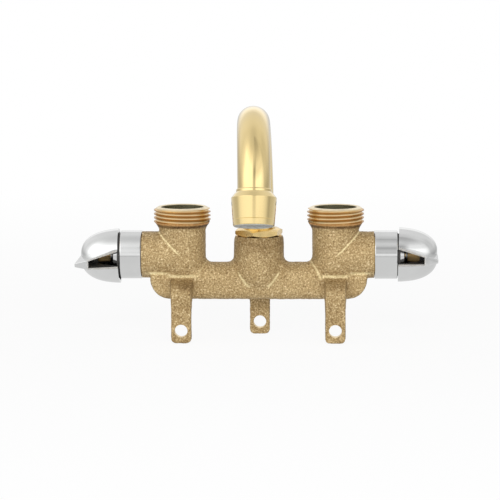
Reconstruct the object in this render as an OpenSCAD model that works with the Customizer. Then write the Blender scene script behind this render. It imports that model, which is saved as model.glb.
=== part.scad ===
// Utility sink faucet: a rough brass straddle body with two quarter-turn valves and a swing spout.
// Millimetres. X runs along the valves, Y points away from the user, Z is up.
// The origin is the middle of the flat seat under the body, where it sits on the tub rim.

/* [Body] */
// distance between the two supply unions, and between the two front legs
union_spacing = 88.9; // [84:0.1:96]
// height of the valve axis above the rim seat
valve_z = 25.4; // [24:0.1:28]
// outside diameter of the union columns and of the valve arms
arm_d = 27; // [26:0.1:29]
// end face of each valve arm, measured from the middle
arm_end = 67.7; // [66:0.1:74]
// height and depth of the round manifold
manifold_h = 21.1; // [20:0.1:23]
// end of the manifold, measured from the middle
manifold_end = 62.8; // [58:0.1:65]
// radius of the lower corners at the manifold's ends
manifold_end_r = 12.5; // [8:0.1:13]
// width of the flat seat under the manifold
seat_w = 11; // [8:0.1:12]

/* [Supply unions] */
// top of the unions above the rim seat
union_top = 53.5; // [52:0.1:60]
// outside diameter over the union thread
union_thread_d = 33; // [32:0.1:34]
// straight length of the threaded band
union_thread_len = 7; // [6:0.1:8]
// height of the sloping top face
union_nose_h = 1.5; // [1:0.1:2]
// diameter of the union's mouth
union_bore_d = 25; // [22:0.1:25.4]
// depth of the union's mouth
union_bore_depth = 11; // [8:0.1:12.5]

/* [Legs] */
// clear gap between the front legs and the rear leg
rim_gap = 29; // [26:0.1:34]
// thickness of each leg
leg_t = 4.8; // [3.6:0.1:6]
// width of each leg
leg_w = 11.7; // [10.5:0.1:14]
// how far the legs hang below the rim seat
leg_drop = 23.9; // [20:0.1:34]
// diameter of the bolt hole in each leg
leg_hole_d = 7.4; // [5:0.1:7.6]
// bolt hole centre above the bottom of the leg
leg_hole_rise = 7.3; // [6:0.1:9]

/* [Spout] */
// outside diameter of the spout tube
tube_d = 18; // [16:0.1:18.4]
// wall of the spout tube
tube_wall = 1.2; // [0.8:0.1:1.6]
// radius of the gooseneck, on the tube's centre line
bend_r = 42.5; // [38:0.5:70]
// height of the gooseneck's centre above the rim seat
bend_z = 63.3; // [58:0.1:110]
// lean of the outlet away from the riser, in degrees
outlet_lean = 13.2; // [0:0.1:20]
// length of the outlet tip
tip_len = 21.3; // [20:0.1:28]
// diameter of the tip at its mouth
tip_mouth_d = 22.5; // [22.2:0.1:24]
// diameter of the tip at its shoulder
tip_shoulder_d = 24.8; // [24.2:0.1:26]
// diameter of the spout boss
boss_d = 28.7; // [28:0.1:30]
// top of the spout boss above the rim seat
boss_top = 36.7; // [36:0.1:40]
// spout nut across its flats
nut_af = 24.8; // [24:0.1:25.4]
// height of the spout nut's head
nut_h = 4.9; // [4:0.1:8]
// turn at which the tightened nut came to rest, in degrees
nut_turn = 18.5; // [0:0.5:59.5]
// how far the spout turns to each side before it meets its stop, in degrees
spout_turn = 75; // [40:1:78]

/* [Handles] */
// diameter of the chrome sleeve over each valve
sleeve_d = 28; // [27.4:0.1:29]
// length of the sleeve's full diameter
sleeve_len = 12.3; // [11:0.1:16]
// diameter of the handle's hub at its rim
hub_d = 31.2; // [30:0.1:34]
// length of the hub from rim to nose
hub_len = 22.6; // [22:0.1:26]
// fullness of the hub's rounded side, two being an ellipse
hub_fullness = 2.6; // [2.2:0.1:3]
// reach of the lever from the valve axis
lever_len = 36; // [30:0.5:60]
// width of the lever's end
lever_tip_w = 7.2; // [6.5:0.1:10]
// wall of the handle's hub
handle_wall = 1.8; // [1.4:0.1:2]
// wall of the lever
lever_wall = 1; // [0.8:0.1:1.4]
// valve stem diameter
stem_d = 8.4; // [8:0.1:9]

/* [Hidden] */
$fn = 48;

// shared clearances
slip = 0.1;
seat_gap = 0.05;
cut = 1;

// places of the body
union_x = union_spacing / 2;
arm_r = arm_d / 2;
manifold_r = manifold_h / 2;
seat_edge_r = manifold_r - seat_w / 2;
thread_r = union_thread_d / 2;
thread_top = union_top - union_nose_h;
thread_foot = thread_top - union_thread_len;
shoulder_foot = thread_foot - 1.4 * (thread_r - arm_r);
union_lip_r = union_bore_d / 2 + 1.2;
boss_r = boss_d / 2;
boss_round_z = manifold_r + 6.2;
column_round_z = valve_z - 3;

// waterway inside the body
chamber_r = 10.2;
chamber_end = union_x - 3.45;
port_r = 4.2;
drop_x = chamber_end - port_r - 0.2;
inlet_x = union_x + 3;
inlet_r = 5.5;
channel_r = 5;

// spout socket in the boss
socket_r = tube_d / 2 + 1.6;
socket_floor = boss_top - 11.2;
seal_bore_r = 8.3;
seal_bore_floor = socket_floor - 10.5;
stop_top = socket_floor + 1.5;
stop_r = seal_bore_r + 0.3;
stop_half_angle = 8;

// spout places
tube_r = tube_d / 2;
nut_foot = boss_top + 0.2;
shank_foot = boss_top - 5.7;
slip_ring_foot = shank_foot - 1.2;
foot_ring_top = slip_ring_foot - slip;
foot_ring_foot = socket_floor + 0.3;
tube_foot = foot_ring_foot + 2;
spigot_foot = seal_bore_floor + 1;
groove_rises = [1.6, 5.6];
groove_w = 2.2;
bend_angle = 180 - outlet_lean;
tube_in_tip = tip_len - 10;
bend_step = 0.03;
bend_lap = 1;

// valve places, measured outward along the valve axis
gasket_t = 0.8;
gasket_end = arm_end + gasket_t;
hex_end = gasket_end + 4.3;
sleeve_start = arm_end + 0.3;
sleeve_end = sleeve_start + sleeve_len;
neck_end = sleeve_end + 4;
housing_end = neck_end + 0.6;
rim_x = sleeve_end + 0.6;
nose_x = rim_x + hub_len;
seal_end = chamber_end + 2;
fixed_disc_end = seal_end + 2.6;
moving_disc_start = fixed_disc_end + seat_gap;
moving_disc_end = moving_disc_start + 2.6;
drive_start = moving_disc_end + seat_gap;
drive_end = drive_start + 3.2;
stem_shoulder = drive_end + 0.4;
thread_start = arm_end - 10.5;
clip_start = housing_end + 0.15;
clip_end = clip_start + 0.9;
stem_r = stem_d / 2;
disc_r = 8;
disc_bore_r = disc_r + 0.15;
socket_start = nose_x - 10.3;
broach_start = socket_start - slip;
broach_end = nose_x - 6;
web_end = nose_x - 4;
screw_head_end = web_end + 2;
cap_start = screw_head_end + 0.2;
cap_end = nose_x - 0.25;
cap_r = 4.4;
broach_r = stem_r - 0.2;
broach_teeth = 16;
neck_r = 6.1;
housing_window = [30, 7, 5];

// Helpers

// stands a shape on the right valve's axis, its own Z along the axis, outward
module on_right_valve() {
    translate([0, 0, valve_z])
        rotate([0, 90, 0])
            children();
}

// the left valve is the mirror image
module on_left_valve() {
    mirror([1, 0, 0])
        on_right_valve()
            children();
}

// a drawing of Y and Z, given a thickness along X
module along_x(length) {
    rotate([90, 0, 90])
        translate([0, 0, -length / 2])
            linear_extrude(height = length)
                children();
}

// a drawing of X and Z, given a thickness along Y
module along_y(length) {
    rotate([90, 0, 0])
        translate([0, 0, -length / 2])
            linear_extrude(height = length)
                children();
}

// a turned ring between two heights
module ring(r_in, r_out, start, end) {
    translate([0, 0, start])
        difference() {
            cylinder(h = end - start, r = r_out);
            translate([0, 0, -cut])
                cylinder(h = end - start + 2 * cut, r = r_in);
        }
}

// a pie slice, used for the windows of the ceramic discs
module pie(r, half_angle) {
    polygon([
        [0, 0],
        [r * cos(half_angle), -r * sin(half_angle)],
        [r * 1.35, 0],
        [r * cos(half_angle), r * sin(half_angle)]
    ]);
}

// the frame of the outlet: Z runs back up the tube from the mouth
module at_outlet() {
    translate([0, -bend_r, bend_z])
        rotate([90, 0, 90])
            rotate([0, 0, bend_angle])
                translate([bend_r, tip_len, 0])
                    rotate([90, 0, 0])
                        children();
}

// Body casting

module manifold_section() {
    translate([0, manifold_r])
        circle(r = manifold_r);
    for (side = [-1, 1])
        translate([side * seat_w / 2, seat_edge_r])
            circle(r = seat_edge_r);
    translate([-seat_w / 2, 0])
        square([seat_w, manifold_r]);
    translate([-manifold_r, seat_edge_r])
        square([2 * manifold_r, manifold_r - seat_edge_r]);
}

module manifold_outline() {
    flat_end = manifold_end - manifold_end_r;
    translate([-flat_end, 0])
        square([2 * flat_end, valve_z]);
    translate([-manifold_end, manifold_end_r])
        square([2 * manifold_end, valve_z - manifold_end_r]);
    for (side = [-1, 1])
        translate([side * flat_end, manifold_end_r])
            circle(r = manifold_end_r);
}

module manifold() {
    intersection() {
        along_x(2 * manifold_end + 2 * cut)
            manifold_section();
        along_y(2 * manifold_h)
            manifold_outline();
    }
}

// one union column with its valve arm, a round elbow over the manifold
module union_elbow() {
    translate([union_x, 0, column_round_z])
        sphere(r = arm_r);
    translate([union_x, 0, column_round_z])
        cylinder(h = shoulder_foot + 0.01 - column_round_z, r = arm_r);
    translate([union_x, 0, 0])
        rotate_extrude()
            polygon([
                [0, shoulder_foot],
                [arm_r, shoulder_foot],
                [thread_r, thread_foot],
                [thread_r, thread_top],
                [union_lip_r, union_top],
                [0, union_top]
            ]);
    on_right_valve()
        translate([0, 0, union_x])
            cylinder(h = arm_end - union_x, r = arm_r);
}

module spout_boss() {
    translate([0, 0, boss_round_z])
        sphere(r = boss_r + 0.3);
    translate([0, 0, boss_round_z])
        cylinder(h = boss_top - boss_round_z, r1 = boss_r + 0.3, r2 = boss_r);
}

// the side of a leg: a sloping shoulder off the manifold, then a straight strap
module leg_side() {
    inner = rim_gap / 2;
    outer = inner + leg_t;
    polygon([
        [manifold_r - 6, manifold_r + 3.6],
        [manifold_r - 0.5, manifold_r + 2.5],
        [manifold_r + 2, manifold_r + 1.1],
        [outer - 2.7, manifold_r - 0.75],
        [outer - 0.8, manifold_r - 2.35],
        [outer, manifold_r - 4.5],
        [outer, -leg_drop],
        [inner, -leg_drop],
        [inner, -1],
        [inner - 1.5, 0.6],
        [manifold_r - 6, 0.6]
    ]);
}

// the front of a leg: wider at the shoulder, round at the bottom corners
module leg_front() {
    half = leg_w / 2;
    corner = 3;
    polygon([
        [-half - 0.9, manifold_h],
        [-half - 0.9, 1.5],
        [-half, -5],
        [-half, corner - leg_drop],
        [half, corner - leg_drop],
        [half, -5],
        [half + 0.9, 1.5],
        [half + 0.9, manifold_h]
    ]);
    for (side = [-1, 1])
        translate([side * (half - corner), corner - leg_drop])
            circle(r = corner);
    translate([corner - half, -leg_drop])
        square([leg_w - 2 * corner, corner]);
}

module leg() {
    difference() {
        intersection() {
            along_x(leg_w + 4)
                leg_side();
            along_y(rim_gap + 2 * leg_t + 4)
                leg_front();
        }
        translate([0, rim_gap / 2 - cut, leg_hole_rise - leg_drop])
            rotate([-90, 0, 0])
                cylinder(h = leg_t + 2 * cut, r = leg_hole_d / 2);
    }
}

// from the union's mouth to the valve chamber, then from the seat down to the channel
module valve_waterway() {
    translate([union_x, 0, union_top - union_bore_depth])
        cylinder(h = union_bore_depth + cut, r = union_bore_d / 2);
    translate([inlet_x, 0, valve_z])
        cylinder(h = union_top - union_bore_depth - valve_z + cut, r = inlet_r);
    on_right_valve()
        translate([0, 0, chamber_end])
            cylinder(h = arm_end - chamber_end + cut, r = chamber_r);
    on_right_valve()
        translate([0, 0, drop_x])
            cylinder(h = chamber_end - drop_x + cut, r = port_r);
    translate([drop_x, 0, manifold_r])
        cylinder(h = valve_z - manifold_r, r = port_r);
    translate([drop_x, 0, valve_z])
        sphere(r = port_r);
}

module spout_socket() {
    translate([0, 0, socket_floor])
        cylinder(h = boss_top - socket_floor + cut, r = socket_r);
    translate([0, 0, seal_bore_floor])
        cylinder(h = socket_floor - seal_bore_floor + cut, r = seal_bore_r);
    translate([0, 0, manifold_r])
        cylinder(h = seal_bore_floor - manifold_r + cut, r = channel_r);
}

// a short piece of ring at the back of the spout socket
module stop_ring(r_in, half_angle, start, end) {
    intersection() {
        ring(r_in, socket_r + 0.6, start, end);
        translate([0, 0, start - cut])
            rotate([0, 0, 90])
                linear_extrude(height = end - start + 2 * cut)
                    pie(socket_r + 4, half_angle);
    }
}

module body_casting() {
    color("#a78b63") {
        stop_ring(stop_r, stop_half_angle, socket_floor - 0.6, stop_top);
        difference() {
            union() {
                manifold();
                union_elbow();
                mirror([1, 0, 0])
                    union_elbow();
                spout_boss();
                leg();
                for (side = [-1, 1])
                    translate([side * union_x, 0, 0])
                        mirror([0, 1, 0])
                            leg();
            }
            valve_waterway();
            mirror([1, 0, 0])
                valve_waterway();
            spout_socket();
            on_right_valve()
                translate([0, 0, -drop_x])
                    translate([valve_z - manifold_r, 0, 0])
                        cylinder(h = 2 * drop_x, r = channel_r);
        }
    }
}

// Spout

// a straight length of tube, drawn in a hair thinner where it runs into the bend
module tube_length(start, end) {
    ring(tube_r - tube_wall + bend_step, tube_r - bend_step, start, end);
}

// riser, gooseneck, then the short leg that enters the tip
module spout_tube() {
    color("#d9b765") {
        tube_length(tube_foot, bend_z + bend_lap);
        translate([0, -bend_r, bend_z])
            rotate([90, 0, 90]) {
                rotate_extrude(angle = bend_angle)
                    translate([bend_r, 0])
                        difference() {
                            circle(r = tube_r);
                            circle(r = tube_r - tube_wall);
                        }
                rotate([0, 0, bend_angle])
                    translate([bend_r, 0, 0])
                        rotate([-90, 0, 0])
                            tube_length(-bend_lap, tube_in_tip);
            }
    }
}

// turned foot of the spout, with a retaining flange, two seal grooves and a notch for the stop
module spout_foot() {
    color("#c9a24e")
        difference() {
            spout_foot_turning();
            stop_ring(
                stop_r - 0.2,
                spout_turn + stop_half_angle + 0.5,
                foot_ring_foot - cut,
                stop_top + slip
            );
        }
}

module spout_foot_turning() {
    groove_low = spigot_foot + groove_rises[0];
    groove_high = spigot_foot + groove_rises[1];
    spigot_r = seal_bore_r - 0.2;
    groove_r = spigot_r - 1.9;
    bore_r = channel_r;
    rotate_extrude()
        polygon([
            [bore_r, spigot_foot],
            [spigot_r - 0.5, spigot_foot],
            [spigot_r, spigot_foot + 0.5],
            [spigot_r, groove_low],
            [groove_r, groove_low],
            [groove_r, groove_low + groove_w],
            [spigot_r, groove_low + groove_w],
            [spigot_r, groove_high],
            [groove_r, groove_high],
            [groove_r, groove_high + groove_w],
            [spigot_r, groove_high + groove_w],
            [spigot_r, foot_ring_foot],
            [socket_r - 0.2, foot_ring_foot],
            [socket_r - 0.2, foot_ring_top],
            [tube_r + seat_gap, foot_ring_top],
            [tube_r + seat_gap, tube_foot],
            [bore_r, tube_foot]
        ]);
}

module spout_o_rings() {
    ring_r = 0.95;
    centre_r = seal_bore_r - 2.1 + seat_gap + ring_r;
    color("#222222")
        for (rise = groove_rises)
            translate([0, 0, spigot_foot + rise + groove_w / 2])
                rotate_extrude()
                    translate([centre_r, 0])
                        circle(r = ring_r);
}

module spout_slip_ring() {
    color("#e8e4d8")
        ring(tube_r + slip, socket_r - slip, slip_ring_foot, shank_foot);
}

// gland nut: a chamfered hexagon head over a shank that screws into the boss
module spout_nut() {
    corner_r = nut_af / 2 / cos(30);
    nut_top = nut_foot + nut_h;
    edge_r = nut_af / 2 - 0.3;
    rise = (corner_r - edge_r) * tan(30);
    color("#d2a94f")
        difference() {
            union() {
                rotate([0, 0, nut_turn])
                    intersection() {
                        translate([0, 0, nut_foot])
                            cylinder(h = nut_h, r = corner_r, $fn = 6);
                        rotate_extrude()
                            polygon([
                                [0, nut_foot],
                                [edge_r, nut_foot],
                                [corner_r, nut_foot + rise],
                                [corner_r, nut_top - rise],
                                [edge_r, nut_top],
                                [0, nut_top]
                            ]);
                    }
                translate([0, 0, shank_foot])
                    cylinder(h = nut_foot - shank_foot + cut, r = socket_r - seat_gap);
            }
            translate([0, 0, shank_foot - cut])
                cylinder(h = nut_top - shank_foot + 2 * cut, r = tube_r + slip);
        }
}

// flared collar on the end of the tube, bored for the flow insert
module spout_tip() {
    mouth_r = tip_mouth_d / 2;
    shoulder_r = tip_shoulder_d / 2;
    shoulder_z = tip_len - 4.7;
    socket_z = tip_len - tube_in_tip - 0.3;
    color("#d9b765")
        at_outlet()
            rotate_extrude()
                polygon([
                    [mouth_r - 1.3, 0],
                    [mouth_r - 0.4, 0],
                    [mouth_r, 0.5],
                    [shoulder_r, shoulder_z],
                    [shoulder_r - 0.35, shoulder_z + 0.7],
                    [tube_r + 1.2, tip_len - 1.4],
                    [tube_r + 0.5, tip_len - 0.5],
                    [tube_r + 0.45, tip_len],
                    [tube_r + seat_gap, tip_len],
                    [tube_r + seat_gap, socket_z],
                    [tube_r - tube_wall, socket_z],
                    [tube_r - tube_wall, 7],
                    [mouth_r - 1.3, 7]
                ]);
}

module outlet_insert() {
    insert_r = tip_mouth_d / 2 - 1.3 - seat_gap;
    color("#b9bcbd")
        at_outlet()
            difference() {
                translate([0, 0, 0.6])
                    cylinder(h = 6.3, r = insert_r);
                for (turn = [0 : 30 : 330])
                    rotate([0, 0, turn])
                        translate([insert_r - 2.6, 0, -cut])
                            cylinder(h = 10, r = 1.3, $fn = 20);
                for (turn = [0 : 60 : 300])
                    rotate([0, 0, turn])
                        translate([insert_r / 2 - 1, 0, -cut])
                            cylinder(h = 10, r = 1.3, $fn = 20);
            }
}

// Valve pieces, each drawn once along its own axis

module seat_seal() {
    color("#1f1f1f")
        ring(6.9, disc_r, chamber_end, seal_end);
}

// the fixed disc has two closed windows, upright
module fixed_disc() {
    color("#efe9dd")
        difference() {
            translate([0, 0, seal_end])
                cylinder(h = fixed_disc_end - seal_end, r = disc_r);
            for (turn = [0, 180])
                translate([0, 0, seal_end - cut])
                    rotate([0, 0, turn])
                        linear_extrude(height = fixed_disc_end - seal_end + 2 * cut)
                            intersection() {
                                pie(disc_r, 38);
                                difference() {
                                    circle(r = 6.6);
                                    circle(r = 2.6);
                                }
                            }
        }
}

// the moving disc is cut away at two sides, and the stem's tongue turns it
module moving_disc() {
    color("#f4f1ea")
        difference() {
            translate([0, 0, moving_disc_start])
                cylinder(h = moving_disc_end - moving_disc_start, r = disc_r);
            for (turn = [90, 270])
                translate([0, 0, moving_disc_start - cut])
                    rotate([0, 0, turn])
                        linear_extrude(height = moving_disc_end - moving_disc_start + 2 * cut)
                            difference() {
                                pie(disc_r + 1, 38);
                                circle(r = 2.6);
                            }
            translate([-disc_r - cut, -1.6, moving_disc_end - 1.2])
                cube([2 * disc_r + 2 * cut, 3.2, 2]);
        }
}

// brass housing: a slotted barrel round the discs, a threaded body, a hexagon and a neck
module housing() {
    barrel_r = 9.3;
    barrel_start = chamber_end + 1.2;
    hex_r = 12.2;
    hex_edge_r = 11.4;
    hex_cone_r = 14;
    color("#c49a48")
        difference() {
            union() {
                translate([0, 0, barrel_start])
                    cylinder(h = thread_start - barrel_start + 0.01, r = barrel_r);
                translate([0, 0, thread_start])
                    cylinder(h = gasket_end - thread_start + 0.01, r = chamber_r - seat_gap);
                translate([0, 0, gasket_end])
                    intersection() {
                        cylinder(h = hex_end - gasket_end, r = hex_r, $fn = 6);
                        cylinder(h = hex_end - gasket_end, r1 = hex_cone_r, r2 = hex_edge_r);
                    }
                translate([0, 0, hex_end - cut])
                    cylinder(h = housing_end - hex_end + cut, r = neck_r);
            }
            translate([0, 0, barrel_start - cut])
                cylinder(h = stem_shoulder - barrel_start + cut, r = disc_bore_r);
            translate([0, 0, barrel_start])
                cylinder(h = housing_end - barrel_start + cut, r = stem_r + slip);
            translate([-housing_window[0] / 2, -housing_window[1] / 2, moving_disc_start - 0.4])
                cube(housing_window);
        }
}

module gasket() {
    color("#2b2b2b")
        ring(chamber_r + seat_gap, 12, arm_end, gasket_end);
}

// toothed end of the stem, and the matching socket when it is given a gap
module broach(gap) {
    outer = broach_r + gap;
    inner = broach_r - 0.45 + gap;
    step = 360 / broach_teeth;
    polygon([
        for (tooth = [0 : broach_teeth - 1])
            for (half = [0, 1])
                let (r = half == 0 ? outer : inner, turn = (tooth + half / 2) * step)
                    [r * cos(turn), r * sin(turn)]
    ]);
}

module stem() {
    o_ring_at = drive_end + 6;
    color("#c9a04a")
        difference() {
            union() {
                translate([0, 0, drive_start])
                    cylinder(h = drive_end - drive_start, r = disc_r - 0.1);
                translate([-disc_r + 1, -1.5, moving_disc_end - 1.1])
                    cube([2 * disc_r - 2, 3, 2]);
                translate([0, 0, drive_end - cut])
                    cylinder(h = broach_start - drive_end + cut, r = stem_r);
                translate([0, 0, broach_start - cut])
                    linear_extrude(height = broach_end - broach_start + cut)
                        broach(0);
            }
            for (turn = [90, 270])
                rotate([0, 0, turn])
                    translate([4.6, -4, drive_start - cut])
                        cube([8, 8, drive_end - drive_start + 2 * cut]);
            ring(stem_r - 1.7, stem_r + cut, o_ring_at - 1, o_ring_at + 1);
            ring(stem_r - 0.8, stem_r + cut, clip_start - seat_gap, clip_end + seat_gap);
            translate([0, 0, broach_end - 7])
                cylinder(h = 7 + cut, r = 1.65);
        }
}

module stem_o_ring() {
    ring_r = 0.85;
    color("#222222")
        translate([0, 0, drive_end + 6])
            rotate_extrude()
                translate([stem_r - 1.7 + seat_gap + ring_r, 0])
                    circle(r = ring_r);
}

// spring clip that keeps the stem in the housing, open on one side
module stem_clip() {
    color("#8d9094")
        difference() {
            ring(stem_r - 0.75, stem_r + 1.9, clip_start, clip_end);
            translate([0, 0, clip_start - cut])
                rotate([0, 0, 90])
                    linear_extrude(height = clip_end - clip_start + 2 * cut)
                        pie(stem_r + 6, 35);
        }
}

// chrome sleeve: a full barrel, then a smaller neck that enters the handle
module sleeve() {
    outer = sleeve_d / 2;
    neck = outer - 1.7;
    bore = outer - 1.1;
    color("#d5d7d9")
        rotate_extrude()
            polygon([
                [bore, sleeve_start],
                [outer - 0.4, sleeve_start],
                [outer, sleeve_start + 0.4],
                [outer, sleeve_end - 0.5],
                [outer - 0.5, sleeve_end],
                [neck, sleeve_end],
                [neck, neck_end - 0.6],
                [neck - 0.6, neck_end],
                [neck_r + slip, neck_end],
                [neck_r + slip, neck_end - 1.8],
                [neck - 1.4, neck_end - 1.8],
                [neck - 1.4, sleeve_end - 1.4],
                [bore, sleeve_end - 2]
            ]);
}

// half outline of the rounded hub, from its rim to its nose
function hub_outline(rim_r, length, points) = [
    for (i = [0 : points])
        let (turn = 90 * i / points)
            [rim_r * pow(cos(turn), 2 / hub_fullness), length * pow(sin(turn), 2 / hub_fullness)]
];

module hub(rim_r, length) {
    translate([0, 0, rim_x])
        rotate_extrude()
            polygon(concat([[0, 0]], hub_outline(rim_r, length, 20)));
}

// the lever: a wedge that thins to the nose and to the tip, with a slanted back edge
module lever(inset, open) {
    rim_half = 5.5 - inset;
    nose_half = 1.9 - inset * 0.6;
    root_half = 6 - inset;
    tip_half = 2.6 - inset * 0.8;
    reach = lever_len - inset;
    back = hub_len - lever_tip_w;
    translate([0, 0, rim_x])
        intersection() {
            rotate([90, 0, 0])
                linear_extrude(height = reach)
                    polygon([
                        [-rim_half, -open],
                        [rim_half, -open],
                        [nose_half, hub_len - inset],
                        [-nose_half, hub_len - inset]
                    ]);
            rotate([90, 0, 90])
                translate([0, 0, -hub_d / 2])
                    linear_extrude(height = hub_d)
                        polygon([
                            [0, -open],
                            [-hub_d / 2 + 0.2 - open, -open],
                            [-lever_len - open, back - open],
                            [-lever_len, hub_len],
                            [0, hub_len]
                        ]);
            translate([0, 0, -open])
                linear_extrude(height = hub_len + open)
                    polygon([
                        [-root_half, 0],
                        [-tip_half, -lever_len],
                        [tip_half, -lever_len],
                        [root_half, 0]
                    ]);
        }
}

// hollow lever handle, open toward the valve, with a socket for the stem
module handle() {
    color("#dcdee0")
        difference() {
            union() {
                difference() {
                    union() {
                        hub(hub_d / 2, hub_len);
                        lever(0, 0);
                    }
                    hub(hub_d / 2 - handle_wall, hub_len - handle_wall - 0.4);
                    translate([0, 0, rim_x - cut])
                        cylinder(h = cut + 0.01, r = hub_d / 2 - handle_wall);
                    lever(lever_wall, 3);
                }
                intersection() {
                    hub(hub_d / 2 - 0.5, hub_len - 0.5);
                    translate([0, 0, socket_start])
                        cylinder(h = hub_len, r = stem_r + 2.6);
                }
            }
            translate([0, 0, socket_start - cut])
                linear_extrude(height = broach_end - socket_start + 0.2 + cut)
                    broach(0.06);
            translate([0, 0, broach_end])
                cylinder(h = hub_len, r = 1.75);
            translate([0, 0, web_end])
                cylinder(h = hub_len, r = 3.4);
            translate([0, 0, cap_start])
                cylinder(h = hub_len, r = cap_r + seat_gap);
        }
}

module handle_screw() {
    color("#a9adb1")
        difference() {
            union() {
                translate([0, 0, broach_end - 5.5])
                    cylinder(h = web_end - broach_end + 5.5 + 0.1, r = 1.6);
                translate([0, 0, web_end])
                    cylinder(h = screw_head_end - web_end, r1 = 3.2, r2 = 2.8);
            }
            translate([-0.5, -4, screw_head_end - 0.9])
                cube([1, 8, 2]);
        }
}

module handle_cap(shade) {
    color(shade)
        rotate_extrude()
            polygon([
                [0, cap_start],
                [cap_r, cap_start],
                [cap_r, cap_end - 0.5],
                [cap_r - 0.4, cap_end - 0.1],
                [cap_r - 1.4, cap_end],
                [0, cap_end]
            ]);
}

body_casting();
spout_tube();
spout_foot();
spout_o_rings();
spout_slip_ring();
spout_nut();
spout_tip();
outlet_insert();
on_left_valve() seat_seal();  // left_seat_seal
on_left_valve() fixed_disc();  // left_fixed_disc
on_left_valve() moving_disc();  // left_moving_disc
on_left_valve() housing();  // left_housing
on_left_valve() gasket();  // left_gasket
on_left_valve() stem();  // left_stem
on_left_valve() stem_o_ring();  // left_stem_o_ring
on_left_valve() stem_clip();  // left_stem_clip
on_left_valve() sleeve();  // left_sleeve
on_left_valve() handle();  // left_handle
on_left_valve() handle_screw();  // left_handle_screw
on_left_valve() handle_cap("#b3262a");  // left_handle_cap
on_right_valve() seat_seal();  // right_seat_seal
on_right_valve() fixed_disc();  // right_fixed_disc
on_right_valve() moving_disc();  // right_moving_disc
on_right_valve() housing();  // right_housing
on_right_valve() gasket();  // right_gasket
on_right_valve() stem();  // right_stem
on_right_valve() stem_o_ring();  // right_stem_o_ring
on_right_valve() stem_clip();  // right_stem_clip
on_right_valve() sleeve();  // right_sleeve
on_right_valve() handle();  // right_handle
on_right_valve() handle_screw();  // right_handle_screw
on_right_valve() handle_cap("#24499c");  // right_handle_cap
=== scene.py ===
"""Looks of a utility sink faucet: rough cast body, polished spout and chrome levers around the solids."""
import math

import bpy
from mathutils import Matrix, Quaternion, Vector


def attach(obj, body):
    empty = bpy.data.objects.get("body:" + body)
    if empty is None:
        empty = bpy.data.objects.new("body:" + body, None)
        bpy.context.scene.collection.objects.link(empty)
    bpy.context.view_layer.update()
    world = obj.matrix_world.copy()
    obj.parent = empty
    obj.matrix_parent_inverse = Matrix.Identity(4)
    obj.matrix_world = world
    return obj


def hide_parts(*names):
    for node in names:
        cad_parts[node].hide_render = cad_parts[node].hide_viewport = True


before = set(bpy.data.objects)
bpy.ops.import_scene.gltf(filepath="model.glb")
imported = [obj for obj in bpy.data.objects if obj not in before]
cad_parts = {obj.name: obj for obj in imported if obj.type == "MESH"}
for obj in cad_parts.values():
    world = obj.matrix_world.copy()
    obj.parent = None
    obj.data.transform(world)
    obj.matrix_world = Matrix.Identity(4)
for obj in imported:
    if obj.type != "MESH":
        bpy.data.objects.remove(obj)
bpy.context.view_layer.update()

# Pieces are drawn in millimetres and brought down to metres when they are done.
MM = 0.001

# Body
UNION_X = 44.45
VALVE_Z = 25.4
COLUMN_R = 13.5
ARM_R = COLUMN_R
ARM_END = 67.7
MANIFOLD_R = 10.55
MANIFOLD_END = 62.8
MANIFOLD_FLAT = 5.5
MANIFOLD_CORNER = 12.5
BOSS_R = 14.65
BOSS_BALL_Z = 16.75
BOSS_TOP = 36.7
COLUMN_BALL_Z = 22.4
COLUMN_SHOULDER_Z = 40.8
COLUMN_SHOULDER_R = 16.3
FACING_STOCK = 1.5
THREAD_FOOT = 45.0
THREAD_ROOT = 15.15
THREAD_CREST = 16.45
THREAD_PITCH = 2.209
THREAD_TURNS = 8
UNION_TOP = 53.5
UNION_RIM_Z = 52.65
LEG_IN = 14.5
LEG_OUT = 19.3
LEG_FOOT = -23.9
LEG_ROOT_HALF = 6.75
LEG_STRAP_HALF = 5.85
LEG_HOLE_Z = -16.6
LEG_HOLE_R = 3.7

# Waterway in the body
UNION_BORE_R = 12.4
UNION_FLOOR = 42.5
INLET_R = 5.5
INLET_OFFSET = 3.0
CHAMBER_R = 10.2
CHAMBER_START = 41.0
DROP_R = 4.2
DROP_X = 36.6
CHANNEL_R = 5.0
SEAL_R = 8.3
SEAL_FLOOR = 15.0
SOCKET_R = 10.7
SOCKET_FLOOR = 25.5

# Spout
TUBE_R = 9.05
TUBE_WALL = 1.2
TUBE_FOOT = 27.8
TUBE_STOP = 10.0
BEND_R = 42.5
BEND_Z = 63.3
OUTLET_LEAN = 13.2
TIP_LEN = 21.3
TIP_MOUTH = 0.9
TIP_BORE = 9.95
RISER_LEAN = 1.5
NUT_TURN = 18.5
NUT_CORNER_R = 14.4
NUT_BORE = 9.4
NUT_FOOT = 36.8
NUT_TOP = 41.1
NUT_BLANK = 4.9
SHANK_R = 10.45
SHANK_FOOT = 31.0

# Valves and handles
SLEEVE_START = 68.0
SLEEVE_END = 80.3
SLEEVE_R = 14.0
SLEEVE_BORE = 12.9
SHADOW_END = 81.8
NECK_R = 12.3
NECK_BORE = 10.9
NECK_FLOOR = 82.5
NECK_END = 84.3
STEM_GAP_R = 6.2
HUB_RIM = 80.9
HUB_R = 15.8
HUB_LEN = 22.6
HUB_WALL = 1.8
HUB_NOSE_WALL = 2.2
HUB_FULLNESS = 2.6
HUB_TAPER = 0.08
POST_R = 6.8
POST_BORE = 4.1
POST_FOOT = 93.2
POST_TOP = 101.6
LEVER_LEN = 36.0
LEVER_TIP = 7.2
LEVER_WALL = 0.75
LEVER_LAP = 0.2
LEVER_RIM_HALF = 6.0
LEVER_NOSE_HALF = 1.1
LEVER_ROOT_HALF = 7.2
LEVER_TIP_HALF = 3.3

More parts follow.
